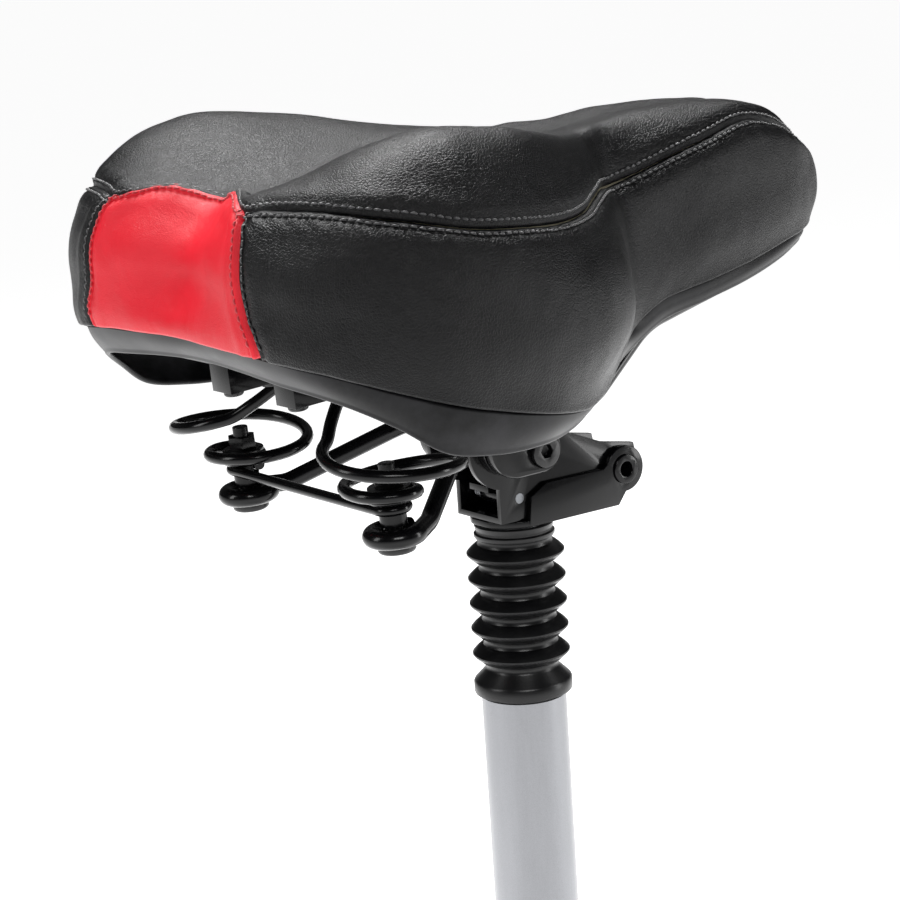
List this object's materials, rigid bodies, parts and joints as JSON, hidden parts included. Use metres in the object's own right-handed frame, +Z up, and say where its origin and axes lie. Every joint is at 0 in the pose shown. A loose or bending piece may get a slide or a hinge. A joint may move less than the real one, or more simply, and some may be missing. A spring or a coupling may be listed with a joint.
{
  "type": "sprung saddle with suspension seatpost",
  "caption": "Wide padded saddle on rear coil springs and steel rails, with a flip-up hinged bracket, rubber bellows and a suspension seatpost tube.",
  "frame": {"origin": "centre of the seatpost tube's lower end", "axes": "+Z up along the seatpost, +X towards the saddle's nose, +Y to the rider's left"},
  "size_m": [0.3142, 0.2422, 0.4969],
  "materials": {
    "silver_tube": "satin silver",
    "black_plastic": "moulded",
    "zinc_steel": "zinc plated",
    "spring_steel": "oiled spring wire",
    "boot_rubber": "satin moulded rubber",
    "chromed_stem": "polished",
    "black_gloss_paint": "gloss powder coat",
    "black_bolt": "black oxide",
    "foam": "moulded polyurethane foam",
    "black_leather": "grained polyurethane leather, satin",
    "red_leather": "smooth polyurethane leather",
    "black_pan_plastic": "fine textured polypropylene"
  },
  "bodies": {
    "seatpost": {"outer_tube": "silver_tube", "guide_bush": "black_plastic", "preload_plug": "zinc_steel", "suspension_spring": "spring_steel", "bellows": "boot_rubber"},
    "stem": {"inner_stem": "chromed_stem", "piston_bush": "black_plastic", "topout_bumper": "boot_rubber", "lower_bracket": "black_gloss_paint", "pivot_rivet": "black_gloss_paint"},
    "flip_head": {"upper_bracket": "black_gloss_paint", "latch_pin": "zinc_steel", "hub_tube": "black_gloss_paint", "clamp_bolt": "black_bolt", "clamp_nut": "black_bolt"},
    "latch": {"latch_lever": "black_gloss_paint", "latch_spring": "spring_steel"},
    "clamp": {"inner_cheek_left": "black_gloss_paint", "inner_cheek_right": "black_gloss_paint", "outer_cheek_left": "black_gloss_paint", "outer_cheek_right": "black_gloss_paint"},
    "undercarriage": {"rail_left": "black_gloss_paint", "rail_right": "black_gloss_paint", "cross_brace": "black_gloss_paint", "spring_bolts": "black_bolt", "spring_sleeves": "black_gloss_paint", "spring_washers": "black_bolt", "spring_nuts": "black_bolt", "rear_spring_left": "black_gloss_paint", "rear_spring_right": "black_gloss_paint"},
    "saddle": {"foam_cushion": "foam", "cover_top": "black_leather", "cover_side_left": "black_leather", "cover_side_right": "black_leather", "cover_rear_panel": "red_leather", "pan_shell": "black_pan_plastic", "nose_hook": "black_pan_plastic", "spring_anchor_left": "black_gloss_paint", "spring_anchor_right": "black_gloss_paint", "anchor_screws": "black_bolt"}
  },
  "joints": [
    {"name": "suspension_slide", "type": "slide", "parent": "seatpost", "child": "stem", "axis": [0, 0, 1], "range_m": [-0.03, 0], "stiffness_N_per_m": 12000, "springref_m": 0.012, "deforming": ["bellows", "suspension_spring"]},
    {"name": "flip_hinge", "type": "hinge", "parent": "stem", "child": "flip_head", "pos_m": [0.044, 0, 0.3413], "axis": [0, 1, 0], "range_deg": [0, 80]},
    {"name": "latch_pivot", "type": "hinge", "parent": "flip_head", "child": "latch", "pos_m": [-0.007, 0, 0.3386], "axis": [0, 1, 0], "range_deg": [0, 12], "stiffness_Nm_per_rad": 0.2, "springref_deg": -17.19},
    {"name": "clamp_tilt", "type": "hinge", "parent": "flip_head", "child": "clamp", "pos_m": [-0.0015, 0, 0.358], "axis": [0, 1, 0], "range_deg": [-12, 12]},
    {"name": "rail_slide", "type": "slide", "parent": "clamp", "child": "undercarriage", "axis": [0.9976, 0, 0.0698], "range_m": [-0.015, 0.003]},
    {"name": "saddle_rock", "type": "hinge", "parent": "undercarriage", "child": "saddle", "pos_m": [0.11869, 0, 0.40961], "axis": [0, -1, 0], "range_deg": [0, 5], "stiffness_Nm_per_rad": 900, "springref_deg": -0.57, "deforming": ["rear_spring_left", "rear_spring_right"]}
  ]
}
